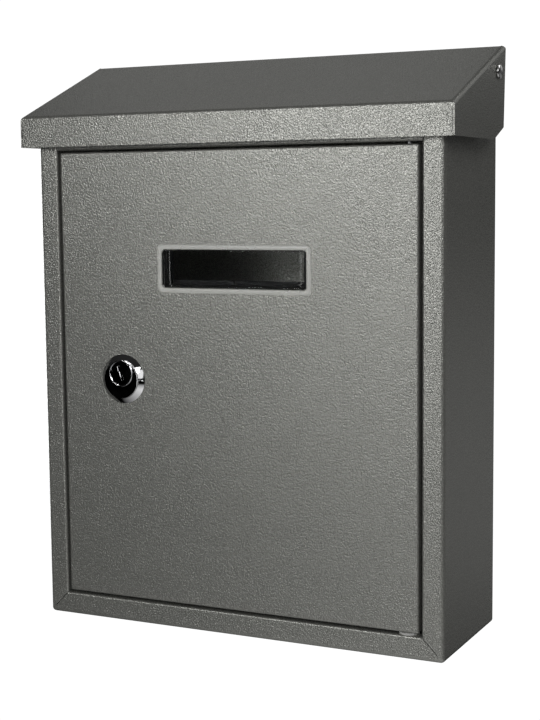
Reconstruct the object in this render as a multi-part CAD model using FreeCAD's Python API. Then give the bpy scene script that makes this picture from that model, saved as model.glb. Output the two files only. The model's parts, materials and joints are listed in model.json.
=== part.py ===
"""Wall mounted mailbox: folded sheet-steel casing, sloped lifting lid, side-hung door with cam lock.

Working axes, in mm: X to the right, Y from the front plane of the casing (0) back to the wall,
Z up from the underside of the casing.  save() moves every piece to the wall-hole centre.
"""
import FreeCAD, Part
import math
import os

os.makedirs("parts", exist_ok=True)
V = FreeCAD.Vector

# ---- casing ----
HALF_WIDTH = 122.8        # half of the overall body width
DEPTH = 83.5              # front plane to wall
SHEET = 0.8               # body and door sheet
FRONT_BEND = 1.5          # inside radius of the front folds
FOOT_BEND = 1.6           # inside radius of the folds between the sides and the foot
HALF_OPENING = 110.4      # half width of the door opening
OPENING_BOTTOM = 12.9
OPENING_TOP = 270.6
RAIL_TOP = 289.8
LIP_DEPTH = 10.5          # return lip around the door opening
STRIP = 5.0               # width of the folded strip that carries each lip
LIP_BEND = 0.4
SEAM = 0.35               # open mitre seam at the lower corners
BACK_TOP = 290.5
BACK_FLANGE = 9.0

# ---- wall holes ----
HOLE_SPACING_X = 170.0
HOLE_SPACING_Z = 200.0
HOLE_CENTRE_Z = 150.0
HOLE_R = 3.0

# ---- lid ----
LID_HALF = 130.0
LID_SHEET = 1.0
LID_BEND = 1.2
FASCIA_Y = -7.0
FASCIA_BOTTOM = 272.6
FASCIA_TOP = 289.75
LID_REAR_Y = 77.6
LID_REAR_TOP = 324.2
CHEEK_REAR = (74.8, 279.6)
CHEEK_CHAMFER = (58.0, 272.6)
HEM_HALF = 119.0
HEM_DROP = 8.0            # height of the rear hem
HEM_CORNER_DROP = 2.6     # what is left of the hem beside the ears
REAR_ROUND = 2.0          # snip off the upper rear corner of the cheeks
CORNER_GROOVE = 0.25

# ---- lid pivot ----
PIVOT_Y = 64.2
PIVOT_Z = 308.7
EAR_R = 7.7
RIVET_R = 2.5
RUNNING = 0.05            # radial clearance of every turning fit
SIDE_PLAY = 0.3           # end play beside the lid cheeks
RIVET_HEAD_R = 4.0
RIVET_HEAD_H = 2.0
SPACER_R = 4.5

# ---- door ----
DOOR_HALF = 108.65
DOOR_BOTTOM = 14.5
DOOR_TOP = 269.4
DOOR_DEPTH = 10.0
DOOR_ROUND = 1.2
HINGE_X = 101.7
HINGE_Y = 5.5
PIN_R = 1.5
WASHER_R = 5.6

# ---- window ----
WINDOW_X = 1.65
WINDOW_Z = 204.4
FLANGE_W, FLANGE_H = 94.1, 27.0
LENS_W, LENS_H = 88.0, 21.2
PANE_W, PANE_H = 84.0, 17.2
PANE_Y = 1.2
LENS_BACK = 2.2
HOLDER_BACK = 10.5

# ---- lock ----
LOCK_X = -68.9
LOCK_Z = 141.5
ROSETTE_R = 14.0
ROSETTE_H = 2.5
ROSETTE_TOP_R = 11.0
HEAD_R = 10.9
SHOULDER_R = 10.3         # step of the lock head inside the ring, seated on the door
BARREL_R = 9.4
PLUG_Z = 144.9            # the core sits off centre in the barrel, pins below it
COLLAR_R = 7.6
PLUG_FACE_R = 6.75
PLUG_R = 5.0
PLUG_FACE_Y = -3.5
RECESS_Y = -0.8           # floor of the recess that holds the face of the core
CAM_Y = 11.5
CAM_T = 2.0
CAM_LENGTH = 48.0
CAM_WIDTH = 14.0
TAIL = 6.0                # square drive of the cam
KEYWAY_TILT = 14.0
SCREW_R = 2.0
PIN_COUNT = 4
PIN_PITCH = 2.0
KEY_PIN_R = 0.9


# ---- general helpers ----
def save(node, shape):
    """Move a piece to the shared frame and write it."""
    shape = shape.copy()
    shape.translate(V(0, -DEPTH, -HOLE_CENTRE_Z))
    shape.exportStep("parts/" + node + ".step")


def block(x0, x1, y0, y1, z0, z1):
    return Part.makeBox(x1 - x0, y1 - y0, z1 - z0, V(x0, y0, z0))


def rod_y(x, z, radius, y0, y1):
    return Part.makeCylinder(radius, y1 - y0, V(x, y0, z), V(0, 1, 0))


def rod_x(y, z, radius, x0, x1):
    return Part.makeCylinder(radius, x1 - x0, V(x0, y, z), V(1, 0, 0))


def rod_z(x, y, radius, z0, z1):
    return Part.makeCylinder(radius, z1 - z0, V(x, y, z0), V(0, 0, 1))


def place(plane, u, v, w=0.0):
    """Point with in-plane coordinates u, v and height w above the plane."""
    return {"yz": V(w, u, v), "xz": V(u, w, v), "xy": V(u, v, w)}[plane]


def prism(plane, points, low, high):
    """Straight prism on a polygon, from height low to height high."""
    corners = [place(plane, u, v, low) for u, v in points]
    face = Part.Face(Part.makePolygon(corners + corners[:1]))
    return face.extrude(place(plane, 0, 0, high - low))


def round_edges(shape, radius, test):
    """Fillet the edges whose mid point and direction satisfy the test."""
    chosen = []
    for edge in shape.Edges:
        mid = edge.valueAt((edge.FirstParameter + edge.LastParameter) / 2)
        span = edge.lastVertex().Point - edge.firstVertex().Point
        if test(mid, span):
            chosen.append(edge)
    return shape.makeFillet(radius, chosen)


def near(a, b):
    return abs(a - b) < 1e-4


def offset_line(points, distance):
    """Open polyline shifted sideways, to its left for a positive distance, with mitred corners."""
    dirs = []
    for (u0, v0), (u1, v1) in zip(points, points[1:]):
        length = math.hypot(u1 - u0, v1 - v0)
        dirs.append(((u1 - u0) / length, (v1 - v0) / length))
    moved = []
    for i, (u, v) in enumerate(points):
        before, after = dirs[max(i - 1, 0)], dirs[min(i, len(dirs) - 1)]
        nu, nv = -(before[1] + after[1]), before[0] + after[0]
        scale = distance / (1 + before[0] * after[0] + before[1] * after[1])
        moved.append((u + nu * scale, v + nv * scale))
    return moved


def rounded_path(plane, points, radii):
    """Edges along an open polyline whose inner corners are replaced by arcs."""
    edges, start = [], points[0]
    for i in range(1, len(points) - 1):
        (u0, v0), (u1, v1), (u2, v2) = points[i - 1], points[i], points[i + 1]
        a, b = math.hypot(u1 - u0, v1 - v0), math.hypot(u2 - u1, v2 - v1)
        p, q = ((u0 - u1) / a, (v0 - v1) / a), ((u2 - u1) / b, (v2 - v1) / b)
        half = math.acos(max(-1.0, min(1.0, p[0] * q[0] + p[1] * q[1]))) / 2
        cut = radii[i - 1] / math.tan(half)
        s, e = (u1 + p[0] * cut, v1 + p[1] * cut), (u1 + q[0] * cut, v1 + q[1] * cut)
        bis = math.hypot(p[0] + q[0], p[1] + q[1])
        reach = radii[i - 1] / math.sin(half) - radii[i - 1]
        mid = (u1 + (p[0] + q[0]) / bis * reach, v1 + (p[1] + q[1]) / bis * reach)
        edges.append(Part.makeLine(place(plane, *start), place(plane, *s)))
        edges.append(Part.Arc(place(plane, *s), place(plane, *mid), place(plane, *e)).toShape())
        start = e
    edges.append(Part.makeLine(place(plane, *start), place(plane, *points[-1])))
    return edges


def bent(plane, points, thickness, radius, low, high):
    """Folded strip: the sheet lies to the left of the polyline (right if thickness is negative)."""
    other = offset_line(points, thickness)
    outer_radii, inner_radii = [], []
    for (u0, v0), (u1, v1), (u2, v2) in zip(points, points[1:], points[2:]):
        turn = (u1 - u0) * (v2 - v1) - (v1 - v0) * (u2 - u1)
        inside = turn * thickness > 0
        outer_radii.append(radius + abs(thickness) if inside else radius)
        inner_radii.append(radius if inside else radius + abs(thickness))
    edges = rounded_path(plane, points, outer_radii) + rounded_path(plane, other, inner_radii)
    edges.append(Part.makeLine(place(plane, *points[0]), place(plane, *other[0])))
    edges.append(Part.makeLine(place(plane, *points[-1]), place(plane, *other[-1])))
    face = Part.Face(Part.Wire(Part.__sortEdges__(edges)))
    shape = face.extrude(place(plane, 0, 0, high - low))
    shape.translate(place(plane, 0, 0, low))
    return shape


def turned_y(profile, x, z):
    """Solid of revolution about a line along Y; profile is a closed list of (radius, y)."""
    points = [V(x + r, y, z) for r, y in profile]
    face = Part.Face(Part.makePolygon(points + points[:1]))
    return face.revolve(V(x, 0, z), V(0, 1, 0), 360)


def rounded_plate(x, z, width, height, radius, y0, y1):
    """Upright rectangular plate with rounded corners, thick along Y."""
    plate = block(x - width / 2, x + width / 2, y0, y1, z - height / 2, z + height / 2)
    return round_edges(plate, radius, lambda m, d: abs(d.y) > 1e-4)


def mirrored(shape):
    return shape.mirror(V(0, 0, 0), V(1, 0, 0))


# ---- casing ----
def casing_skin(inset, rear, top):
    """Rounded outer form of the casing, or its inner form for an inset of one sheet."""
    half = HALF_WIDTH - inset
    growth = SHEET - inset
    form = block(-half, half, inset, rear, inset, top)
    form = round_edges(form, FOOT_BEND + growth, lambda m, d: near(m.z, inset) and near(abs(m.x), half))
    return round_edges(form, FRONT_BEND + growth, lambda m, d: near(m.y, inset) and m.z < top - 1)


def side_outline():
    """Prism across the box that trims both side walls to their outline with the pivot ears."""
    slope = math.atan2(LID_REAR_TOP - FASCIA_TOP, LID_REAR_Y - FASCIA_Y)
    touch = (PIVOT_Y - EAR_R * math.sin(slope), PIVOT_Z + EAR_R * math.cos(slope))
    front = touch[1] - (touch[0] + 1) * math.tan(slope)
    points = [(-1, -1), (DEPTH, -1), (DEPTH, BACK_TOP), (PIVOT_Y + EAR_R, BACK_TOP)]
    points += [(PIVOT_Y + EAR_R, PIVOT_Z), (PIVOT_Y, PIVOT_Z), touch, (-1, front)]
    outline = prism("yz", points, -150, 150)
    return outline.fuse(rod_x(PIVOT_Y, PIVOT_Z, EAR_R, -150, 150))


def lip_strips():
    """Folded strips around the sides and foot of the door opening, mitred at the corners."""
    edge = HALF_OPENING + STRIP
    low = OPENING_BOTTOM - STRIP
    side = bent("xy", [(HALF_OPENING, LIP_DEPTH), (HALF_OPENING, 0), (edge, 0)], SHEET, LIP_BEND,
                low, RAIL_TOP)
    side = side.common(prism("xz", [(edge, low), (edge, 300), (100, 300), (100, OPENING_BOTTOM),
                                    (HALF_OPENING, OPENING_BOTTOM)], -1, 20))
    foot = bent("yz", [(LIP_DEPTH, OPENING_BOTTOM), (0, OPENING_BOTTOM), (0, low)], SHEET, LIP_BEND,
                -edge, edge)
    foot = foot.common(prism("xz", [(-edge, low), (edge, low), (HALF_OPENING, OPENING_BOTTOM),
                                    (-HALF_OPENING, OPENING_BOTTOM)], -1, 20))
    return [side, mirrored(side), foot]


def corner_seam():
    """Narrow slanting cut between the column and the foot of the frame, right side."""
    length = 12.5
    cut = block(0, length, -1, SHEET + 0.2, -SEAM / 2, SEAM / 2)
    cut.rotate(V(0, 0, 0), V(0, 1, 0), 45)
    cut.translate(V(HALF_OPENING, 0, OPENING_BOTTOM))
    return cut


def body_wrap():
    wrap = casing_skin(0, DEPTH, 330).cut(casing_skin(SHEET, 120, 340))
    wrap = wrap.common(side_outline())
    edge = HALF_OPENING + STRIP
    wrap = wrap.cut(block(-edge, edge, -1, 2, OPENING_BOTTOM - STRIP, 340))
    wrap = wrap.cut(block(-130, 130, -1, SHEET + 0.001, RAIL_TOP, 340))
    wrap = wrap.multiFuse(lip_strips()).removeSplitter()
    seam = corner_seam()
    wrap = wrap.cut(seam).cut(mirrored(seam))
    wrap = wrap.cut(rod_x(PIVOT_Y, PIVOT_Z, RIVET_R, -150, 150))
    return wrap.cut(rod_z(HINGE_X, HINGE_Y, PIN_R, 5, 20))


def back_panel():
    """Shallow pan that closes the rear, with the four wall holes."""
    half = HALF_WIDTH - SHEET
    pan = block(-half, half, DEPTH - BACK_FLANGE, DEPTH, SHEET, BACK_TOP)

    def rear(mid, span):
        return near(mid.y, DEPTH)

    pan = round_edges(pan, 1.2, rear)
    pan = pan.cut(block(-half + SHEET, half - SHEET, 0, DEPTH - SHEET, 2 * SHEET, BACK_TOP - SHEET))
    pan = pan.cut(casing_trim())
    for sx in (-0.5, 0.5):
        for sz in (-0.5, 0.5):
            z = HOLE_CENTRE_Z + sz * HOLE_SPACING_Z
            pan = pan.cut(rod_y(sx * HOLE_SPACING_X, z, HOLE_R, DEPTH - 5, DEPTH + 5))
    return pan


def casing_trim():
    """Everything outside the inner form of the casing, to fit the pan into the rounded foot."""
    return block(-140, 140, 60, 90, -5, 20).cut(casing_skin(SHEET, 120, 340))


def top_rail():
    line = [(LIP_DEPTH, OPENING_TOP), (0, OPENING_TOP), (0, RAIL_TOP), (8.0, RAIL_TOP)]
    rail = bent("yz", line, -SHEET, LIP_BEND, -HALF_OPENING, HALF_OPENING)
    return rail.cut(rod_z(HINGE_X, HINGE_Y, PIN_R, 260, 275))


# ---- lid ----
def lid_slope(y, drop=0.0):
    """Height of the roof surface at y, lowered square to the sheet by drop."""
    run, rise = LID_REAR_Y - FASCIA_Y, LID_REAR_TOP - FASCIA_TOP
    return FASCIA_TOP + (y - FASCIA_Y) * rise / run - drop * math.hypot(run, rise) / run


def lid_form(points, half, radius):
    """Prism of the lid section with soft bends along the roof edges."""
    form = prism("yz", points, -half, half)

    def roof_edge(mid, span):
        on_roof = abs(mid.z - lid_slope(mid.y, LID_HALF - half)) < 1e-3
        along_side = near(abs(mid.x), half) and abs(span.y) > 1
        along_front = abs(span.x) > 1 and mid.y < 0
        return on_roof and (along_side or along_front)

    return round_edges(form, radius, roof_edge)


def lid_panel():
    outside = [(FASCIA_Y, FASCIA_BOTTOM), (FASCIA_Y, FASCIA_TOP), (LID_REAR_Y, LID_REAR_TOP),
               CHEEK_REAR, CHEEK_CHAMFER]
    front = FASCIA_Y + LID_SHEET
    inside = [(front, 255), (front, lid_slope(front, LID_SHEET)), (95, lid_slope(95, LID_SHEET)), (95, 255)]
    lid = lid_form(outside, LID_HALF, LID_BEND + LID_SHEET)
    lid = lid.cut(lid_form(inside, LID_HALF - LID_SHEET, LID_BEND))
    flat = LID_HALF - LID_SHEET - LID_BEND
    lid = lid.cut(block(-flat, flat, 66, 95, 300, 335))
    hem_end = (LID_REAR_Y - 0.5, LID_REAR_TOP - HEM_DROP)
    line = [(60, lid_slope(60)), (LID_REAR_Y, LID_REAR_TOP), hem_end]
    hem = bent("yz", line, -LID_SHEET, 1.0, -flat, flat)
    for low in (-flat, HEM_HALF):
        notch = block(low, low + flat - HEM_HALF, 74, 90, 300, LID_REAR_TOP - HEM_CORNER_DROP)
        hem = hem.cut(notch)
    lid = lid.fuse(hem).removeSplitter()
    start, end = LID_REAR_Y - REAR_ROUND, LID_REAR_TOP - 1.1 * REAR_ROUND
    line = [(start, lid_slope(start)), (start, 335), (90, 335), (90, end), (LID_REAR_Y - 0.14, end)]
    corner = prism("yz", line, flat, 140)
    lid = lid.cut(corner).cut(mirrored(corner))
    for side in (-1, 1):
        x = side * (LID_HALF - LID_SHEET)
        low, high = sorted((x, x - side * CORNER_GROOVE))
        lid = lid.cut(block(low, high, FASCIA_Y - 1, front, 265, FASCIA_TOP - 2.5))
    return lid.cut(rod_x(PIVOT_Y, PIVOT_Z, RIVET_R + RUNNING, -150, 150))


def dome_x(x, radius, height, thickness):
    """Domed head with its flat at x, growing towards +X, with a short cylindrical rim."""
    ball = (radius * radius + height * height) / (2 * height)
    centre = x + thickness + height - ball
    cap = Part.makeSphere(ball, V(centre, PIVOT_Y, PIVOT_Z))
    cap = cap.common(rod_x(PIVOT_Y, PIVOT_Z, radius, x + thickness, x + thickness + height + 1))
    return cap.fuse(rod_x(PIVOT_Y, PIVOT_Z, radius, x, x + thickness)).removeSplitter()


def pivot_rivet():
    """Right-hand lid rivet: dome outside the cheek, shank, set head inside the ear."""
    inner = HALF_WIDTH - SHEET
    seat = LID_HALF + SIDE_PLAY
    shank = rod_x(PIVOT_Y, PIVOT_Z, RIVET_R, inner, seat)
    tail = rod_x(PIVOT_Y, PIVOT_Z, RIVET_HEAD_R, inner - 1.4, inner)
    head = dome_x(seat, RIVET_HEAD_R, RIVET_HEAD_H - 0.4, 0.4)
    return shank.multiFuse([tail, head]).removeSplitter()


def pivot_spacer():
    x0, x1 = HALF_WIDTH, LID_HALF - LID_SHEET - SIDE_PLAY
    return rod_x(PIVOT_Y, PIVOT_Z, SPACER_R, x0, x1).cut(rod_x(PIVOT_Y, PIVOT_Z, RIVET_R, x0, x1))


# ---- door ----
def door_form(inset, radius, back):
    half = DOOR_HALF - inset
    form = block(-half, half, inset, back, DOOR_BOTTOM + inset, DOOR_TOP - inset)

    def folded(mid, span):
        return mid.y < back - 1e-4

    return round_edges(form, radius, folded)


def door_panel():
    door = door_form(0, DOOR_ROUND, DOOR_DEPTH).cut(door_form(SHEET, DOOR_ROUND - SHEET, DOOR_DEPTH + 5))
    door = door.cut(rounded_plate(WINDOW_X, WINDOW_Z, LENS_W, LENS_H, 2.0, -1, 2))
    door = door.cut(rod_y(LOCK_X, LOCK_Z, BARREL_R, -1, 2))
    return door.cut(rod_z(HINGE_X, HINGE_Y, PIN_R + RUNNING, 10, 270))


def hinge_pin(seat, tip):
    """Headed pin: the head lies behind the frame lip at seat, the end is at tip."""
    way = 1 if tip > seat else -1
    shank = rod_z(HINGE_X, HINGE_Y, PIN_R, min(seat, tip), max(seat, tip))
    head = rod_z(HINGE_X, HINGE_Y, 3.0, min(seat, seat - 1.2 * way), max(seat, seat - 1.2 * way))
    return shank.fuse(head).removeSplitter()


def door_washer():
    top = DOOR_BOTTOM - SIDE_PLAY
    ring = rod_z(HINGE_X, HINGE_Y, WASHER_R, OPENING_BOTTOM, top)
    ring = round_edges(ring, 0.4, lambda m, d: near(m.z, top))
    return ring.cut(rod_z(HINGE_X, HINGE_Y, PIN_R, 5, 20))


# ---- window ----
def lens_recess():
    """Dished front of the lens: a rounded rectangle that narrows towards the pane."""
    mouth = rounded_plate(WINDOW_X, WINDOW_Z, LENS_W - 0.4, LENS_H - 0.4, 1.8, -1.0, 0)
    floor = rounded_plate(WINDOW_X, WINDOW_Z, PANE_W, PANE_H, 1.0, PANE_Y, PANE_Y + 1)
    rims = []
    for plate, y in ((mouth, -1.0), (floor, PANE_Y)):
        face = [f for f in plate.Faces if near(f.CenterOfMass.y, y) and f.Area > 500][0]
        rims.append(face.OuterWire)
    return Part.makeLoft(rims, True, True)


def window_lens():
    flange = rounded_plate(WINDOW_X, WINDOW_Z, FLANGE_W, FLANGE_H, 2.6, -1.0, 0)
    flange = round_edges(flange, 0.6, lambda m, d: near(m.y, -1.0))
    body = rounded_plate(WINDOW_X, WINDOW_Z, LENS_W, LENS_H, 2.0, -0.5, LENS_BACK)
    return flange.fuse(body).cut(lens_recess()).removeSplitter()


def label_holder():
    """Open-topped tray behind the lens: side walls, ledge in two lengths and a back stop."""
    x0, x1 = WINDOW_X - LENS_W / 2 + 0.5, WINDOW_X + LENS_W / 2 - 0.5
    z0, z1 = WINDOW_Z - LENS_H / 2 + 0.5, WINDOW_Z + LENS_H / 2 - 0.5
    tray = block(x0, x1, LENS_BACK, HOLDER_BACK, z0, z1)
    tray = tray.cut(block(x0 + 1, x1 - 1, 0, 20, z0 + 1, z1 + 5))
    stop = block(x0 + 1, x1 - 1, HOLDER_BACK - 1, HOLDER_BACK, z0, z0 + 3.4)
    gap = block(WINDOW_X - 4.2, WINDOW_X - 3.2, LENS_BACK + 1.5, 20, z0 - 1, z0 + 6)
    return tray.fuse(stop).cut(gap).removeSplitter()


# ---- lock ----
def lock_rosette():
    """Bevelled ring under the lock head, with a small index groove at the right."""
    h = ROSETTE_H
    ring = turned_y([(SHOULDER_R, 0), (ROSETTE_R, 0), (ROSETTE_R, -0.35), (ROSETTE_TOP_R, -h), (SHOULDER_R, -h)],
                    LOCK_X, LOCK_Z)
    return ring.cut(block(LOCK_X + 10.5, LOCK_X + 15, -4, -0.7, LOCK_Z - 0.35, LOCK_Z + 0.35))


def pin_chamber(i, start, end, radius):
    """Round bore or pin below the core, along the tilted key slot, from start to end."""
    y = 1.0 + i * PIN_PITCH
    pin = Part.makeCylinder(radius, end - start, V(LOCK_X, y, PLUG_Z - end), V(0, 0, 1))
    return tilted(pin)


def lock_housing():
    """Lock head with an off-centre raised collar, and the barrel that passes through the door."""
    front = -ROSETTE_H
    head = turned_y([(0, front), (HEAD_R, front), (HEAD_R - 0.15, front - 0.35), (HEAD_R - 0.8, front - 0.7),
                     (0, front - 1.0)], LOCK_X, LOCK_Z)
    collar = rod_y(LOCK_X, PLUG_Z, COLLAR_R, front - 1.8, front)
    collar = round_edges(collar, 0.6, lambda m, d: near(m.y, front - 1.8))
    shoulder = rod_y(LOCK_X, LOCK_Z, SHOULDER_R, front, 0)
    body = head.multiFuse([collar, shoulder, rod_y(LOCK_X, LOCK_Z, BARREL_R, 0, 10.0)]).removeSplitter()
    body = body.cut(rod_y(LOCK_X, PLUG_Z, PLUG_FACE_R + RUNNING, -8, RECESS_Y))
    body = body.cut(rod_y(LOCK_X, PLUG_Z, PLUG_R + RUNNING, -8, 12))
    for i in range(PIN_COUNT):
        body = body.cut(pin_chamber(i, PLUG_R - 0.5, 11.2, KEY_PIN_R))
    return body


def lock_washer():
    ring = rod_y(LOCK_X, LOCK_Z, 12.0, SHEET, 2 * SHEET)
    for i in range(16):
        tooth = block(11.0, 13.0, 0, 5, -0.5, 0.5)
        tooth.rotate(V(0, 0, 0), V(0, 1, 0), i * 22.5)
        tooth.translate(V(LOCK_X, 0, LOCK_Z))
        ring = ring.cut(tooth)
    return ring.cut(rod_y(LOCK_X, LOCK_Z, BARREL_R, 0, 5))


def lock_nut():
    reach = 12.0 / math.cos(math.radians(30))
    corners = []
    for i in range(6):
        a = math.radians(60 * i + 30)
        corners.append((LOCK_X + reach * math.sin(a), LOCK_Z + reach * math.cos(a)))
    nut = prism("xz", corners, 2 * SHEET, 6.2)
    return nut.cut(rod_y(LOCK_X, LOCK_Z, BARREL_R, 0, 10))


def tilted(shape):
    """Turn a piece of the core to the angle of the key slot."""
    shape.rotate(V(LOCK_X, 0, PLUG_Z), V(0, 1, 0), -KEYWAY_TILT)
    return shape


def lock_plug():
    """Turning core: face disc, body, zigzag key slot, pin bores, square drive."""
    plug = rod_y(LOCK_X, PLUG_Z, PLUG_FACE_R, PLUG_FACE_Y, RECESS_Y - 0.3)
    plug = round_edges(plug, 0.3, lambda m, d: near(m.y, PLUG_FACE_Y))
    half = TAIL / 2
    drive = block(LOCK_X - half, LOCK_X + half, CAM_Y - 1, CAM_Y + CAM_T - 0.1, PLUG_Z - half, PLUG_Z + half)
    plug = plug.multiFuse([rod_y(LOCK_X, PLUG_Z, PLUG_R, RECESS_Y - 0.4, CAM_Y), drive])
    slot = tilted(block(LOCK_X - 0.7, LOCK_X + 0.7, -5, 9.0, PLUG_Z - 4.2, PLUG_Z + 4.2))
    step = tilted(block(LOCK_X - 0.2, LOCK_X + 1.5, -5, 9.0, PLUG_Z - 1.5, PLUG_Z + 0.4))
    plug = plug.cut(slot).cut(step).cut(rod_y(LOCK_X, PLUG_Z, SCREW_R, 9.6, 20))
    for i in range(PIN_COUNT):
        plug = plug.cut(pin_chamber(i, 0.5, PLUG_R + 1, KEY_PIN_R + RUNNING))
    return plug.removeSplitter()


def key_pins():
    """Pointed brass pins that rest in the core."""
    pins = []
    for i in range(PIN_COUNT):
        pins.append(pin_chamber(i, 0.8 + 0.5 * (i % 2), PLUG_R - 0.15, KEY_PIN_R))
    return Part.makeCompound(pins)


def driver_pins():
    """Driver pins in the barrel, just below the shear line."""
    return Part.makeCompound([pin_chamber(i, PLUG_R + 0.35, 8.4, KEY_PIN_R) for i in range(PIN_COUNT)])


def lock_cam():
    """Flat locking arm with a square hole, hanging down from the plug."""
    y0, y1 = CAM_Y, CAM_Y + CAM_T
    arm = block(LOCK_X - CAM_WIDTH / 2, LOCK_X + CAM_WIDTH / 2, y0, y1, PLUG_Z - CAM_LENGTH, PLUG_Z)
    arm = round_edges(arm, 4.0, lambda m, d: abs(d.y) > 1 and m.z < PLUG_Z - 10)
    cam = arm.fuse(rod_y(LOCK_X, PLUG_Z, 8.5, y0, y1)).removeSplitter()
    half = TAIL / 2
    return cam.cut(block(LOCK_X - half, LOCK_X + half, y0 - 1, y1 + 1, PLUG_Z - half, PLUG_Z + half))


def cam_washer():
    y0 = CAM_Y + CAM_T
    ring = rod_y(LOCK_X, PLUG_Z, 5.0, y0, y0 + 0.8)
    return ring.cut(rod_y(LOCK_X, PLUG_Z, SCREW_R, y0 - 1, y0 + 2))


def cam_screw():
    y0 = CAM_Y + CAM_T + 0.8
    head = rod_y(LOCK_X, PLUG_Z, 4.2, y0, y0 + 2.4)
    head = round_edges(head, 1.2, lambda m, d: near(m.y, y0 + 2.4))
    screw = head.fuse(rod_y(LOCK_X, PLUG_Z, SCREW_R, 10.0, y0)).removeSplitter()
    for dx, dz in ((2.2, 0.5), (0.5, 2.2)):
        screw = screw.cut(block(LOCK_X - dx, LOCK_X + dx, y0 + 1.0, y0 + 5, PLUG_Z - dz, PLUG_Z + dz))
    return screw


def main():
    rivet, spacer = pivot_rivet(), pivot_spacer()
    pieces = {
        "body_wrap": body_wrap(),
        "back_panel": back_panel(),
        "top_rail": top_rail(),
        "lid_pivot_rivet_right": rivet,
        "lid_pivot_rivet_left": mirrored(rivet),
        "lid_pivot_spacer_right": spacer,
        "lid_pivot_spacer_left": mirrored(spacer),
        "lid_panel": lid_panel(),
        "door_panel": door_panel(),
        "door_pin_lower": hinge_pin(OPENING_BOTTOM - SHEET, DOOR_BOTTOM + 4),
        "door_pin_upper": hinge_pin(OPENING_TOP + SHEET, DOOR_TOP - 4),
        "door_washer": door_washer(),
        "window_lens": window_lens(),
        "label_holder": label_holder(),
        "lock_rosette": lock_rosette(),
        "lock_housing": lock_housing(),
        "lock_washer": lock_washer(),
        "lock_nut": lock_nut(),
        "lock_plug": lock_plug(),
        "key_pins": key_pins(),
        "driver_pins": driver_pins(),
        "lock_cam": lock_cam(),
        "cam_washer": cam_washer(),
        "cam_screw": cam_screw(),
    }
    for node, shape in pieces.items():
        save(node, shape)
        print(node, len(shape.Solids), shape.isValid(), round(shape.Volume, 1))


main()
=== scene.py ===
"""Wall mounted mailbox: finishes, moulded and turned detail pieces, studio and camera."""
import bmesh
import bpy
import json
import math
import numpy as np
from mathutils import Matrix, Vector


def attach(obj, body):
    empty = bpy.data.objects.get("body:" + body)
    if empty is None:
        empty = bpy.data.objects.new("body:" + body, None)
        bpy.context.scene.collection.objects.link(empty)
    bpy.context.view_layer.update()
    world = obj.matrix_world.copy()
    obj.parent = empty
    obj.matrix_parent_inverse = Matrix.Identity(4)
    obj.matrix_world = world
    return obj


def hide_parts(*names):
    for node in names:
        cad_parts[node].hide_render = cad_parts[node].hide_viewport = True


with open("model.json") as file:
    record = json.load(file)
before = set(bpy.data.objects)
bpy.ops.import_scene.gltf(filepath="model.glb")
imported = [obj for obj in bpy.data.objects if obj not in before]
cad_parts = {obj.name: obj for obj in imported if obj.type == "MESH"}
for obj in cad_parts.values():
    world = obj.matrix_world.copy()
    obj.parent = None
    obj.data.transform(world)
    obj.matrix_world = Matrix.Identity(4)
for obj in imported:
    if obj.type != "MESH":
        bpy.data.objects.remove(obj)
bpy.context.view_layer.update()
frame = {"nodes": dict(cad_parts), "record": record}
NODES = frame["nodes"]

# The casing's own axes, on which the pieces below are drawn in mm: front plane y = 0, underside z = 0.
MM = 0.001
FRONT_Y = -0.0835
FOOT_Z = -0.150
SHARP_EDGE = math.radians(35.0)

# Pattern scales per metre, and depths of relief in metres.
DIMPLE_SCALE = 1050.0
CLOUD_SCALE = 1500.0
FLECK_SCALE = 1500.0
DRIFT_SCALE = 9.0
WARP_SCALE = 850.0
WARP_SHIFT = 0.0008
SCUFF_SCALE = 900.0
WAVE_SCALE = 160.0
COAT_RELIEF = 0.00008
PLATE_RELIEF = 0.00001
LENS_WAVES = 0.0002


# ---------------------------------------------------------------- node helpers
def new_group(name, inputs, outputs):
    """Shader node group with the given (name, socket type, default) inputs and (name, type) outputs."""
    group = bpy.data.node_groups.new(name, "ShaderNodeTree")
    for label, kind, default in inputs:
        socket = group.interface.new_socket(name=label, in_out="INPUT", socket_type=kind)
        if default is not None:
            socket.default_value = default
    for label, kind in outputs:
        group.interface.new_socket(name=label, in_out="OUTPUT", socket_type=kind)
    enter = group.nodes.new("NodeGroupInput")
    leave = group.nodes.new("NodeGroupOutput")
    return group, enter, leave


def node(tree, kind, **settings):
    """New node with its properties set."""
    made = tree.nodes.new(kind)
    for key, value in settings.items():
        setattr(made, key, value)
    return made


def join(tree, source, target):
    tree.links.new(source, target)


def math_node(tree, operation, a, b=None):
    """Math node fed by sockets or plain numbers; returns its output."""
    made = node(tree, "ShaderNodeMath", operation=operation)
    for i, value in enumerate((a, b)):
        if value is None:
            continue
        if isinstance(value, (int, float)):
            made.inputs[i].default_value = value
        else:
            join(tree, value, made.inputs[i])
    return made.outputs[0]


def ramp_value(tree, source, low, high, out_low=0.0, out_high=1.0):
    """Map a value from one range to another, clamped."""
    made = node(tree, "ShaderNodeMapRange", clamp=True)
    join(tree, source, made.inputs["Value"])
    for label, value in (("From Min", low), ("From Max", high), ("To Min", out_low), ("To Max", out_high)):
        made.inputs[label].default_value = value
    return made.outputs["Result"]


def noise(tree, vector, scale, detail=2.0, rough=0.5):
    made = node(tree, "ShaderNodeTexNoise")
    made.inputs["Scale"].default_value = scale
    made.inputs["Detail"].default_value = detail
    made.inputs["Roughness"].default_value = rough
    join(tree, vector, made.inputs["Vector"])
    return made.outputs["Fac"]


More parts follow.
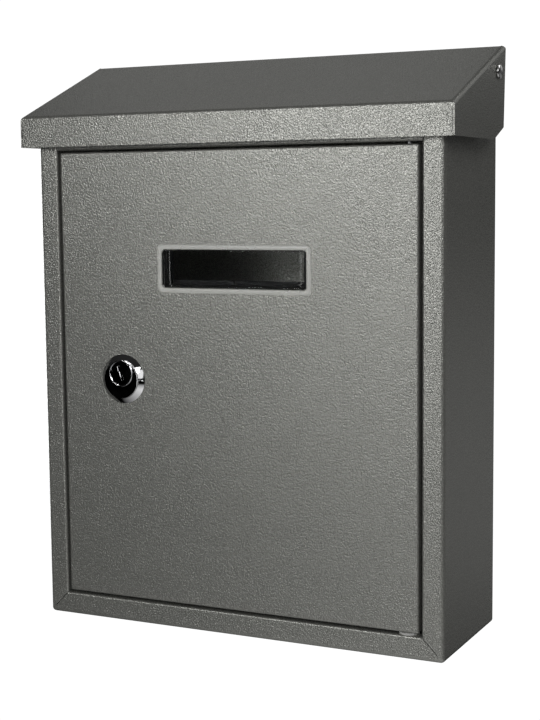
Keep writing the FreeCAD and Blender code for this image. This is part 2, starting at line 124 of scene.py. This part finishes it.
# ---------------------------------------------------------------- shared effects
def hammer_group():
    """Hammertone relief: warped cells about 1 mm across, broken up by a finer cloud, with slow drift."""
    group, enter, leave = new_group(
        "HammertoneRelief",
        [("Vector", "NodeSocketVector", None), ("Dimples", "NodeSocketFloat", DIMPLE_SCALE)],
        [("Height", "NodeSocketFloat"), ("Fleck", "NodeSocketFloat"), ("Drift", "NodeSocketFloat")])
    warp = node(group, "ShaderNodeTexNoise")
    warp.inputs["Scale"].default_value = WARP_SCALE
    warp.inputs["Detail"].default_value = 1.0
    join(group, enter.outputs["Vector"], warp.inputs["Vector"])
    shift = node(group, "ShaderNodeVectorMath", operation="MULTIPLY_ADD")
    join(group, warp.outputs["Color"], shift.inputs[0])
    shift.inputs[1].default_value = (WARP_SHIFT,) * 3
    join(group, enter.outputs["Vector"], shift.inputs[2])
    cells = node(group, "ShaderNodeTexVoronoi", feature="SMOOTH_F1")
    cells.inputs["Smoothness"].default_value = 0.5
    join(group, enter.outputs["Dimples"], cells.inputs["Scale"])
    join(group, shift.outputs[0], cells.inputs["Vector"])
    dimple = ramp_value(group, cells.outputs["Distance"], 0.10, 0.60)
    cloud = noise(group, enter.outputs["Vector"], CLOUD_SCALE, 2.0, 0.55)
    height = math_node(group, "MULTIPLY_ADD", cloud, 1.3)
    join(group, dimple, height.node.inputs[2])
    specks = noise(group, enter.outputs["Vector"], FLECK_SCALE, 2.0, 0.7)
    fleck = ramp_value(group, specks, 0.40, 0.64)
    drift = noise(group, enter.outputs["Vector"], DRIFT_SCALE, 3.0, 0.55)
    join(group, height, leave.inputs["Height"])
    join(group, fleck, leave.inputs["Fleck"])
    join(group, drift, leave.inputs["Drift"])
    return group


def smudge_group():
    """Fine handling marks: soft clouds and hair-thin scuffs that vary the gloss of metal and plastic."""
    group, enter, leave = new_group(
        "HandlingMarks",
        [("Vector", "NodeSocketVector", None), ("Cloud Scale", "NodeSocketFloat", 60.0),
         ("Low", "NodeSocketFloat", 0.1), ("High", "NodeSocketFloat", 0.2)],
        [("Roughness", "NodeSocketFloat"), ("Scuff", "NodeSocketFloat")])
    cloud = node(group, "ShaderNodeTexNoise")
    cloud.inputs["Detail"].default_value = 4.0
    join(group, enter.outputs["Vector"], cloud.inputs["Vector"])
    join(group, enter.outputs["Cloud Scale"], cloud.inputs["Scale"])
    spread = node(group, "ShaderNodeMapRange", clamp=True)
    join(group, cloud.outputs["Fac"], spread.inputs["Value"])
    spread.inputs["From Min"].default_value = 0.35
    spread.inputs["From Max"].default_value = 0.68
    join(group, enter.outputs["Low"], spread.inputs["To Min"])
    join(group, enter.outputs["High"], spread.inputs["To Max"])
    scuff = ramp_value(group, noise(group, enter.outputs["Vector"], SCUFF_SCALE, 6.0, 0.7), 0.5, 0.75)
    join(group, spread.outputs["Result"], leave.inputs["Roughness"])
    join(group, scuff, leave.inputs["Scuff"])
    return group


HAMMER = hammer_group()
SMUDGE = smudge_group()


# ---------------------------------------------------------------- materials
def start_material(name):
    """Material with its Principled shader and the Object coordinates; returns all three."""
    made = bpy.data.materials.new(name)
    made.use_nodes = True
    tree = made.node_tree
    shader = tree.nodes["Principled BSDF"]
    coords = node(tree, "ShaderNodeTexCoord").outputs["Object"]
    return made, tree, shader, coords


def place_group(tree, group, coords, **values):
    made = node(tree, "ShaderNodeGroup", node_tree=group)
    join(tree, coords, made.inputs["Vector"])
    for label, value in values.items():
        made.inputs[label.replace("_", " ")].default_value = value
    return made


def add_bump(tree, shader, height, strength, distance):
    bump = node(tree, "ShaderNodeBump")
    bump.inputs["Strength"].default_value = strength
    bump.inputs["Distance"].default_value = distance
    join(tree, height, bump.inputs["Height"])
    join(tree, bump.outputs["Normal"], shader.inputs["Normal"])


def mix_colour(tree, factor, low, high):
    made = node(tree, "ShaderNodeMix", data_type="RGBA")
    made.inputs["A"].default_value = (*low, 1.0)
    made.inputs["B"].default_value = (*high, 1.0)
    join(tree, factor, made.inputs["Factor"])
    return made.outputs["Result"]


def hammertone_coat():
    """Grey-green metallic hammertone powder coat on folded steel."""
    made, tree, shader, coords = start_material("HammertoneCoat")
    relief = place_group(tree, HAMMER, coords)
    colour = mix_colour(tree, relief.outputs["Fleck"], (0.326, 0.328, 0.304), (0.358, 0.360, 0.334))
    drift = mix_colour(tree, relief.outputs["Drift"], (0.97, 0.97, 0.97), (1.03, 1.03, 1.03))
    tint = node(tree, "ShaderNodeMix", data_type="RGBA", blend_type="MULTIPLY")
    tint.inputs["Factor"].default_value = 1.0
    join(tree, colour, tint.inputs["A"])
    join(tree, drift, tint.inputs["B"])
    join(tree, tint.outputs["Result"], shader.inputs["Base Color"])
    join(tree, ramp_value(tree, relief.outputs["Fleck"], 0.0, 1.0, 0.335, 0.19), shader.inputs["Roughness"])
    shader.inputs["Metallic"].default_value = 0.55
    add_bump(tree, shader, relief.outputs["Height"], 1.0, COAT_RELIEF)
    return made


def bright_metal(name, low, high, rough_low, rough_high):
    """Plated or polished metal with faint handling marks."""
    made, tree, shader, coords = start_material(name)
    marks = place_group(tree, SMUDGE, coords, Cloud_Scale=90.0, Low=rough_low, High=rough_high)
    join(tree, mix_colour(tree, marks.outputs["Scuff"], low, high), shader.inputs["Base Color"])
    join(tree, marks.outputs["Roughness"], shader.inputs["Roughness"])
    shader.inputs["Metallic"].default_value = 1.0
    add_bump(tree, shader, marks.outputs["Scuff"], 0.15, PLATE_RELIEF)
    return made


def pale_nylon():
    """Natural nylon: milky, slightly translucent, satin."""
    made, tree, shader, coords = start_material("PaleNylon")
    marks = place_group(tree, SMUDGE, coords, Cloud_Scale=140.0, Low=0.38, High=0.55)
    join(tree, mix_colour(tree, marks.outputs["Scuff"], (0.60, 0.60, 0.58), (0.50, 0.50, 0.48)),
         shader.inputs["Base Color"])
    join(tree, marks.outputs["Roughness"], shader.inputs["Roughness"])
    shader.inputs["Subsurface Weight"].default_value = 0.15
    shader.inputs["Subsurface Radius"].default_value = (0.002, 0.002, 0.002)
    return made


def light_through(tree, shader):
    """Let shadow rays pass, so that what lies under the clear plastic is lit."""
    passing = node(tree, "ShaderNodeBsdfTransparent")
    passing.inputs["Color"].default_value = (0.88, 0.89, 0.88, 1.0)
    path = node(tree, "ShaderNodeLightPath")
    mix = node(tree, "ShaderNodeMixShader")
    join(tree, path.outputs["Is Shadow Ray"], mix.inputs[0])
    join(tree, shader.outputs[0], mix.inputs[1])
    join(tree, passing.outputs[0], mix.inputs[2])
    join(tree, mix.outputs[0], tree.nodes["Material Output"].inputs["Surface"])


def clear_moulding(name, tone, rough_low, rough_high, clarity=1.0, gloss=0.5):
    """Moulded plastic with slight waviness and handling haze; clarity is how much light it passes."""
    made, tree, shader, coords = start_material(name)
    marks = place_group(tree, SMUDGE, coords, Cloud_Scale=45.0, Low=rough_low, High=rough_high)
    join(tree, mix_colour(tree, marks.outputs["Scuff"], tone, tuple(0.94 * c for c in tone)),
         shader.inputs["Base Color"])
    join(tree, marks.outputs["Roughness"], shader.inputs["Roughness"])
    shader.inputs["IOR"].default_value = 1.49
    shader.inputs["Transmission Weight"].default_value = clarity
    shader.inputs["Specular IOR Level"].default_value = gloss
    add_bump(tree, shader, noise(tree, coords, WAVE_SCALE, 2.0), 0.12, LENS_WAVES)
    light_through(tree, shader)
    return made


COAT = hammertone_coat()
CHROME = bright_metal("PolishedChrome", (0.78, 0.78, 0.79), (0.70, 0.70, 0.71), 0.03, 0.09)
RIVET_STEEL = bright_metal("RolledRivetSteel", (0.80, 0.80, 0.79), (0.66, 0.66, 0.65), 0.18, 0.32)
ZINC = bright_metal("ZincPlate", (0.55, 0.56, 0.57), (0.44, 0.45, 0.47), 0.28, 0.45)
BRASS = bright_metal("StampedBrass", (0.72, 0.56, 0.26), (0.60, 0.45, 0.20), 0.25, 0.40)
NYLON = pale_nylon()
LENS = clear_moulding("ClearLens", (0.95, 0.96, 0.96), 0.02, 0.07)
RIM = clear_moulding("FrostedRim", (0.84, 0.84, 0.81), 0.20, 0.32, 0.40)
# Near-black, opaque moulding: painted shade standing in for the dark inside of the box seen through the
# window.
HOLDER_SHADE = clear_moulding("HolderPaintedShade", (0.012, 0.012, 0.013), 0.45, 0.60, 0.0, 0.2)

FINISH = {
    "coat": COAT, "rivet_steel": RIVET_STEEL, "zinc_steel": ZINC, "nylon": NYLON,
    "clear_plastic": LENS, "chrome": CHROME, "brass": BRASS,
}
for part in frame["record"]["subparts"]:
    slots = NODES[part["node"]].data.materials
    slots.clear()
    slots.append(FINISH[part["material_slot"]])
# The label holder takes the painted-shade moulding in place of clear plastic.
NODES["label_holder"].data.materials[0] = HOLDER_SHADE


# ---------------------------------------------------------------- surfaces
def grid_piece(name, rings, finish, body, replaces=(), poles=False):
    """Closed tube of rings, an array (ring, point, 3) in mm on the casing's axes: each ring joins the next.

    The last ring joins the first one, or with poles=True both end rings are points and are merged.
    """
    count, around = rings.shape[:2]
    places = rings.reshape(-1, 3) * MM + np.array((0.0, FRONT_Y, FOOT_Z))
    k = np.arange(count - 1 if poles else count)[:, None]
    j = np.arange(around)[None, :]
    up, side = (k + 1) % count, (j + 1) % around
    quads = np.stack((k * around + j, k * around + side, up * around + side, up * around + j), -1)
    mesh = bpy.data.meshes.new(name)
    mesh.from_pydata(places.tolist(), [], quads.reshape(-1, 4).tolist())
    edit = bmesh.new()
    edit.from_mesh(mesh)
    bmesh.ops.remove_doubles(edit, verts=edit.verts, dist=1e-7)
    bmesh.ops.dissolve_degenerate(edit, edges=edit.edges, dist=1e-8)
    bmesh.ops.recalc_face_normals(edit, faces=edit.faces)
    edit.to_mesh(mesh)
    edit.free()
    mesh.shade_smooth()
    mesh.set_sharp_from_angle(angle=SHARP_EDGE)
    mesh.materials.append(finish)
    piece = bpy.data.objects.new(name, mesh)
    bpy.context.scene.collection.objects.link(piece)
    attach(piece, body)
    if replaces:
        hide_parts(*replaces)


def soft_corners(profile, radius, steps=5):
    """Closed profile whose corners are cut by quadratic curves: start and end lie radius from the corner.

    A corner c between legs towards p and q becomes (1-t)^2 a + 2t(1-t) c + t^2 b, with a and b on the legs.
    """
    c = np.asarray(profile, float)
    p, q = np.roll(c, 1, 0), np.roll(c, -1, 0)
    lp, lq = np.linalg.norm(p - c, axis=1), np.linalg.norm(q - c, axis=1)
    cut = np.minimum(np.asarray(radius, float) * np.ones(len(c)), 0.45 * np.minimum(lp, lq))[:, None]
    a = c + (p - c) / lp[:, None] * cut
    b = c + (q - c) / lq[:, None] * cut
    t = np.linspace(0.0, 1.0, steps)[None, :, None]
    curve = (1 - t) ** 2 * a[:, None] + 2 * t * (1 - t) * c[:, None] + t ** 2 * b[:, None]
    return curve.reshape(-1, 2)


def turn_y(profile, x, z, angles):
    """Rings of a turned shape about a line along Y: (x + r cos a, y, z + r sin a) for profile (r, y)."""
    r, y = np.asarray(profile, float).T
    a = np.asarray(angles)[None, :]
    return np.stack((x + r[:, None] * np.cos(a), y[:, None] + 0.0 * a, z + r[:, None] * np.sin(a)), -1)


def turn_x(profile, y, z, angles):
    """Rings of a turned shape about a line along X: (h, y + r cos a, z + r sin a) for profile (r, h)."""
    r, h = np.asarray(profile, float).T
    a = np.asarray(angles)[None, :]
    return np.stack((h[:, None] + 0.0 * a, y + r[:, None] * np.cos(a), z + r[:, None] * np.sin(a)), -1)


ROUND = np.linspace(0.0, 2.0 * math.pi, 144, endpoint=False)


# ---------------------------------------------------------------- lock
# Sizes in mm: radii, and faces as y from the door's front, where less than zero stands out from it.
LOCK_X, LOCK_Z, CORE_Z = -68.9, 141.5, 144.9
RING_BORE, RING_OUTER, RING_FACE = 10.32, 14.0, -2.5
BARREL, THREAD_DEPTH, THREAD_ROWS = 9.35, 0.32, 33
COLLAR_BORE, COLLAR_OUTER, COLLAR_FACE = 6.82, 7.6, -3.95
CORE, CORE_FACE = 6.75, -3.5


def lock_ring():
    """Bevelled ring: a turned profile, pressed down to y = -0.6 mm inside a slot at the right."""
    half_slot = 0.042
    angles = np.concatenate(([-half_slot, 0.0, half_slot],
                             np.linspace(half_slot + 0.004, 2 * math.pi - half_slot - 0.004, 150)))
    profile = soft_corners([(RING_BORE, 0.0), (RING_OUTER, 0.0), (RING_OUTER, -0.35), (11.0, RING_FACE),
                            (RING_BORE, RING_FACE)], [0.05, 0.05, 0.16, 0.08, 0.1])
    rings = turn_y(profile, LOCK_X, LOCK_Z, angles)
    rings[:, :3, 1] = np.maximum(rings[:, :3, 1], -0.6)
    grid_piece("LockRing", rings, CHROME, "door", ("lock_rosette",))


def lock_head():
    """Head with a crown y = -3.35 + 0.03 (r / 10)^2 and a rolled edge, and the threaded barrel."""
    r = np.linspace(0.0, 10.7, 12)
    crown = np.column_stack((r, -3.35 + 0.03 * (r / 10.0) ** 2))
    bend = np.radians(np.linspace(10.0, 90.0, 7))
    edge = np.column_stack((10.76 + 0.14 * np.sin(bend), -3.16 - 0.14 * np.cos(bend)))
    step = [(10.9, -2.49), (10.28, -2.49), (10.28, -0.02), (BARREL, -0.02), (BARREL, 1.6)]
    y = np.linspace(1.6, 9.8, THREAD_ROWS)
    thread = np.column_stack((BARREL - THREAD_DEPTH * (np.arange(THREAD_ROWS) % 2), y))
    profile = np.vstack((crown, edge, step, thread, [(9.0, 10.0), (0.0, 10.0)]))
    rings = turn_y(profile, LOCK_X, LOCK_Z, ROUND)
    grid_piece("LockHead", rings, CHROME, "door", ("lock_housing",), poles=True)


def lock_collar():
    """Raised collar off the head's centre: a turned ring with a rolled lip."""
    profile = soft_corners([(COLLAR_BORE, -1.0), (COLLAR_BORE, COLLAR_FACE), (COLLAR_OUTER, COLLAR_FACE),
                            (COLLAR_OUTER, -1.0)], [0.1, 0.14, 0.2, 0.1], 8)
    grid_piece("LockCollar", turn_y(profile, LOCK_X, CORE_Z, ROUND), CHROME, "door")


def key_slot():
    """Outline of the key slot about the core's centre: a tilted bar with ward steps and a rounded foot."""
    corners = np.array([(-0.1, -4.1), (0.9, -4.1), (1.25, -3.3), (1.0, -2.4), (0.6, -1.9), (0.6, -0.9),
                        (1.3, -0.7), (1.3, 0.6), (0.6, 0.8), (0.6, 4.2), (-0.7, 4.2), (-0.7, 1.3),
                        (-0.1, 1.0), (-0.1, -1.6), (-0.5, -2.4), (-0.5, -3.4)])
    outline = soft_corners(corners, 0.12, 4)
    tilt = math.radians(14.0)
    turn = np.array(((math.cos(tilt), math.sin(tilt)), (-math.sin(tilt), math.cos(tilt))))
    return outline @ turn


def lock_core():
    """Turning core: rings run from the slot's floor up its walls, over the face, and down the outside.

    A ring is slot + w (circle - slot): w = 0 on the slot, 1 on the circle of the same bearing.
    """
    slot = key_slot()
    bearing = np.unwrap(np.arctan2(slot[:, 1], slot[:, 0]))
    rim = np.linspace(bearing[0], bearing[0] + 2 * math.pi, len(slot), endpoint=False)
    blend = 0.5 * bearing + 0.5 * rim
    circle = np.column_stack((np.cos(blend), np.sin(blend)))
    across = circle * (CORE - 0.05) - slot
    rows = [(0.0 * slot, 6.0), (slot, 6.0), (slot, -3.2), (slot + 0.03 * across, -3.42)]
    for w in (0.1, 0.12, 0.5, 0.96, 0.98):
        rows.append((slot + w * across, CORE_FACE - 0.06 * (1 - w)))
    rows += [(circle * (CORE - 0.03), -3.4), (circle * CORE, -3.25), (circle * CORE, -1.1),
             (circle * 5.0, -1.1), (circle * 5.0, 11.5), (0.0 * circle, 11.5)]
    rings = np.stack([np.column_stack((LOCK_X + p[:, 0], np.full(len(p), y), CORE_Z + p[:, 1]))
                      for p, y in rows])
    grid_piece("LockCore", rings, CHROME, "plug", ("lock_plug",), poles=True)


# ---------------------------------------------------------------- window
WINDOW_X, WINDOW_Z = 1.65, 204.4


def rounded_ring(half_x, half_z, radius, y, steps=8, side=12):
    """Rounded rectangle: quarter circles about the corner centres, joined by straight runs."""
    quarter = np.linspace(0.0, math.pi / 2, steps)
    parts = []
    for i, (sx, sz) in enumerate(((1, 1), (-1, 1), (-1, -1), (1, -1))):
        a = quarter + i * math.pi / 2
        parts.append(np.column_stack((sx * (half_x - radius) + radius * np.cos(a),
                                      sz * (half_z - radius) + radius * np.sin(a))))
    points = []
    for i in range(4):
        start, end = parts[i][-1], parts[(i + 1) % 4][0]
        t = np.linspace(0.0, 1.0, side + 2)[1:-1, None]
        points += [parts[i], start + t * (end - start)]
    flat = np.vstack(points)
    return np.column_stack((WINDOW_X + flat[:, 0], np.full(len(flat), y), WINDOW_Z + flat[:, 1]))


def window_rim():
    """Frosted rim: a low domed flange round the recess; the last row joins the first.

    Each row gives half width, half height, corner radius and y.
    """
    rows = [(44.1, 10.7, 1.7, -0.05), (44.1, 10.7, 1.7, -0.45), (44.25, 10.85, 1.8, -0.72),
            (44.6, 11.15, 1.9, -0.93), (45.1, 11.6, 2.1, -1.0), (45.7, 12.2, 2.3, -0.98),
            (46.25, 12.75, 2.5, -0.84), (46.65, 13.12, 2.6, -0.64), (46.9, 13.36, 2.6, -0.42),
            (47.03, 13.48, 2.6, -0.2), (47.05, 13.5, 2.6, -0.05)]
    rings = np.stack([rounded_ring(*row[:3], row[3]) for row in rows])
    grid_piece("WindowRim", rings, RIM, "door", ("window_lens",))


def window_pane():
    """Clear pane with its recess walls, which slope most at the two ends, and the plug wall outside."""
    rows = [(0.02, 0.005, 0.001, 1.2), (20.0, 4.0, 0.5, 1.2), (39.2, 9.64, 0.75, 1.2), (39.4, 9.7, 0.8, 1.2),
            (39.9, 9.82, 0.9, 1.15), (40.3, 9.95, 1.0, 1.05), (43.5, 10.45, 1.5, -0.38),
            (43.85, 10.55, 1.6, -0.55), (44.02, 10.62, 1.7, -0.5), (44.02, 10.62, 1.7, -0.04),
            (43.95, 10.58, 1.8, 0.9), (43.9, 10.5, 1.8, 2.1), (43.8, 10.4, 1.7, 2.2),
            (43.5, 10.1, 1.5, 2.2), (20.0, 4.0, 0.5, 2.2), (0.02, 0.005, 0.001, 2.2)]
    rings = np.stack([rounded_ring(*row[:3], row[3]) for row in rows])
    grid_piece("WindowPane", rings, LENS, "door", poles=True)


# ---------------------------------------------------------------- rivets and washer
PIVOT_Y, PIVOT_Z = 64.2, 308.7
RIVET_FACE, RIVET_HEAD, RIVET_SHANK = 132.3, 4.0, 2.5
HINGE_X, HINGE_Y = 101.7, 5.5
WASHER_BORE, WASHER_RADIUS, WASHER_FOOT, WASHER_TOP = 1.52, 5.6, 12.91, 14.18


def lid_rivet(name, side, node_name):
    """Rolled rivet: domed head outside the cheek, shank, and set head inside the ear."""
    turn = np.radians(np.linspace(0.0, 82.0, 9))
    head = np.column_stack((RIVET_HEAD * np.sin(turn) ** 0.9, RIVET_FACE - 1.55 * (1 - np.cos(turn))))
    body = [(RIVET_HEAD, 130.75), (RIVET_HEAD, 130.5), (3.8, 130.3), (RIVET_SHANK, 130.3),
            (RIVET_SHANK, 122.2), (RIVET_HEAD, 122.2), (RIVET_HEAD, 121.3), (3.7, 120.85), (2.8, 120.8),
            (0.0, 120.8)]
    rings = turn_x(np.vstack((head, body)), PIVOT_Y, PIVOT_Z, ROUND[::2])
    rings[..., 0] *= side
    grid_piece(name, rings, RIVET_STEEL, "casing", (node_name,), poles=True)


def hinge_washer():
    """Thin nylon washer on the lower pin: a turned ring with soft edges."""
    profile = soft_corners([(WASHER_BORE, WASHER_FOOT), (WASHER_RADIUS, WASHER_FOOT),
                            (WASHER_RADIUS, WASHER_TOP), (WASHER_BORE, WASHER_TOP)], [0.1, 0.35, 0.45, 0.1])
    r, z = profile.T
    a = ROUND[None, :]
    rings = np.stack((HINGE_X + r[:, None] * np.cos(a), HINGE_Y + r[:, None] * np.sin(a),
                      z[:, None] + 0.0 * a), -1)
    grid_piece("HingeWasher", rings, NYLON, "casing", ("door_washer",))


lock_ring()
lock_head()
lock_collar()
lock_core()
window_rim()
window_pane()
lid_rivet("LidRivetRight", 1, "lid_pivot_rivet_right")
lid_rivet("LidRivetLeft", -1, "lid_pivot_rivet_left")
hinge_washer()


# ---------------------------------------------------------------- studio
HEART = (0.0, -0.08, 0.0)
LAMP_REACH = 1.6
# name, degrees to the right of straight in front, degrees above the level, width, height, watts
SOFTBOXES = (
    ("KeySoftbox", -20, 16, 0.5, 0.5, 4.9),
    ("RightSoftbox", 24, 24, 0.5, 0.5, 3.8),
    ("RightStrip", 36, 11, 0.35, 0.75, 0.8),
    ("LowFill", -10, -8, 0.5, 0.5, 2.1),
    ("SideSoftbox", 110, 50, 0.8, 0.8, 4.71),
    ("RearSoftbox", 150, 25, 0.8, 0.8, 0.73),
    ("RearLeftSoftbox", 210, 25, 0.8, 0.8, 0.39),
    ("RearTopSoftbox", 210, 50, 0.8, 0.8, 0.31),
    ("WallSideFill", 236, -5, 0.9, 0.9, 11.0),
)
BACKDROP_WHITE = 1.05
FLOOR_DROP = 0.22
POOL_CENTRE = (0.25, -0.4, 0.0)
POOL_REACH = 0.6
POOL_GLOW = 0.85
SWEEP_START, SWEEP_END = 0.6, 1.0
SWEEP_GLOW = 0.165
ROOM_LEVEL, ROOM_ABOVE, ROOM_BEHIND = 0.012, 0.03, 0.02

CAMERA_PLACE = (0.3667, FRONT_Y - 0.7002, FOOT_Z + 0.2429)
YAW, PITCH, ROLL = math.radians(26.102), math.radians(-6.368), math.radians(-0.594)
LENS_MM = 72.75


def softbox(name, turn, lift, width, height, power):
    """Rectangular light on a sphere about the box, aimed at the box's middle."""
    a, e = math.radians(turn), math.radians(lift)
    place = (HEART[0] + LAMP_REACH * math.sin(a) * math.cos(e),
             HEART[1] - LAMP_REACH * math.cos(a) * math.cos(e),
             HEART[2] + LAMP_REACH * math.sin(e))
    data = bpy.data.lights.new(name, "AREA")
    data.shape = "RECTANGLE"
    data.size, data.size_y = width, height
    data.energy = power
    lamp = bpy.data.objects.new(name, data)
    bpy.context.scene.collection.objects.link(lamp)
    lamp.location = place
    lamp.rotation_euler = (Vector(HEART) - Vector(place)).to_track_quat("-Z", "Y").to_euler()


def studio_world():
    """White backdrop for the eye; for light and reflections a dim room, brighter above and behind."""
    world = bpy.data.worlds.new("Studio")
    bpy.context.scene.world = world
    world.use_nodes = True
    tree = world.node_tree
    tree.nodes.clear()
    coords = node(tree, "ShaderNodeTexCoord").outputs["Generated"]
    split = node(tree, "ShaderNodeSeparateXYZ")
    join(tree, coords, split.inputs[0])
    above = ramp_value(tree, split.outputs["Z"], 0.0, 1.0, ROOM_LEVEL, ROOM_ABOVE)
    behind = ramp_value(tree, split.outputs["Y"], 0.0, 1.0, 0.0, ROOM_BEHIND)
    room = math_node(tree, "ADD", above, behind)
    dim = node(tree, "ShaderNodeBackground")
    join(tree, room, dim.inputs["Strength"])
    white = node(tree, "ShaderNodeBackground")
    white.inputs["Color"].default_value = (1.0, 1.0, 1.0, 1.0)
    white.inputs["Strength"].default_value = BACKDROP_WHITE
    path = node(tree, "ShaderNodeLightPath")
    mix = node(tree, "ShaderNodeMixShader")
    join(tree, path.outputs["Is Camera Ray"], mix.inputs[0])
    join(tree, dim.outputs[0], mix.inputs[1])
    join(tree, white.outputs[0], mix.inputs[2])
    out = node(tree, "ShaderNodeOutputWorld")
    join(tree, mix.outputs[0], out.inputs["Surface"])


def floor_paper():
    """Pale paper: white to the eye; to light and reflections it glows, with a painted pool of light at the
    front right and a painted glowing sweep behind.
    """
    made = bpy.data.materials.new("FloorPaper")
    made.use_nodes = True
    tree = made.node_tree
    tree.nodes.clear()
    coords = node(tree, "ShaderNodeTexCoord").outputs["Object"]
    split = node(tree, "ShaderNodeSeparateXYZ")
    join(tree, coords, split.inputs[0])
    flat = node(tree, "ShaderNodeVectorMath", operation="MULTIPLY")
    join(tree, coords, flat.inputs[0])
    flat.inputs[1].default_value = (1.0, 1.0, 0.0)
    span = node(tree, "ShaderNodeVectorMath", operation="LENGTH")
    join(tree, flat.outputs["Vector"], span.inputs[0])
    aside = node(tree, "ShaderNodeVectorMath", operation="DISTANCE")
    join(tree, flat.outputs["Vector"], aside.inputs[0])
    aside.inputs[1].default_value = POOL_CENTRE
    # Painted pool of light: the paper itself glows here, strongest at the pool's centre.
    lit = ramp_value(tree, aside.outputs["Value"], 0.0, POOL_REACH, POOL_GLOW, 0.0)
    far = ramp_value(tree, span.outputs["Value"], SWEEP_START, SWEEP_END)
    rear = ramp_value(tree, split.outputs["Y"], 0.0, 0.3)
    # Painted light: a glowing sweep on the paper far behind the box.
    sweep = math_node(tree, "MULTIPLY", math_node(tree, "MULTIPLY", far, rear), SWEEP_GLOW)
    glow = node(tree, "ShaderNodeEmission")
    join(tree, math_node(tree, "ADD", lit, sweep), glow.inputs["Strength"])
    white = node(tree, "ShaderNodeEmission")
    white.inputs["Strength"].default_value = BACKDROP_WHITE
    path = node(tree, "ShaderNodeLightPath")
    mix = node(tree, "ShaderNodeMixShader")
    join(tree, path.outputs["Is Camera Ray"], mix.inputs[0])
    join(tree, glow.outputs[0], mix.inputs[1])
    join(tree, white.outputs[0], mix.inputs[2])
    join(tree, mix.outputs[0], node(tree, "ShaderNodeOutputMaterial").inputs["Surface"])
    return made


def studio_floor():
    """Plain pale floor well below the hanging box."""
    size, z = 6.0, FOOT_Z - FLOOR_DROP
    mesh = bpy.data.meshes.new("StudioFloor")
    mesh.from_pydata([(-size, -size, z), (size, -size, z), (size, size, z), (-size, size, z)], [],
                     [(0, 1, 2, 3)])
    floor = bpy.data.objects.new("StudioFloor", mesh)
    bpy.context.scene.collection.objects.link(floor)
    mesh.materials.append(floor_paper())


def studio_camera():
    """Portrait view from the right, slightly above the middle of the box."""
    forward = Vector((-math.sin(YAW) * math.cos(PITCH), math.cos(YAW) * math.cos(PITCH), math.sin(PITCH)))
    right = Vector((math.cos(YAW), math.sin(YAW), 0.0))
    up = right.cross(forward)
    right_rolled = right * math.cos(ROLL) + up * math.sin(ROLL)
    up_rolled = up * math.cos(ROLL) - right * math.sin(ROLL)
    data = bpy.data.cameras.new("Camera")
    data.sensor_fit = "AUTO"
    data.sensor_width = 36.0
    data.lens = LENS_MM
    data.clip_start, data.clip_end = 0.01, 50.0
    camera = bpy.data.objects.new("Camera", data)
    bpy.context.scene.collection.objects.link(camera)
    axes = Matrix((right_rolled, up_rolled, -forward)).transposed()
    camera.matrix_world = Matrix.Translation(CAMERA_PLACE) @ axes.to_4x4()
    bpy.context.scene.camera = camera


studio_world()
studio_floor()
for row in SOFTBOXES:
    softbox(*row)
studio_camera()
bpy.context.scene.view_settings.view_transform = "Standard"
bpy.context.scene.view_settings.look = "None"
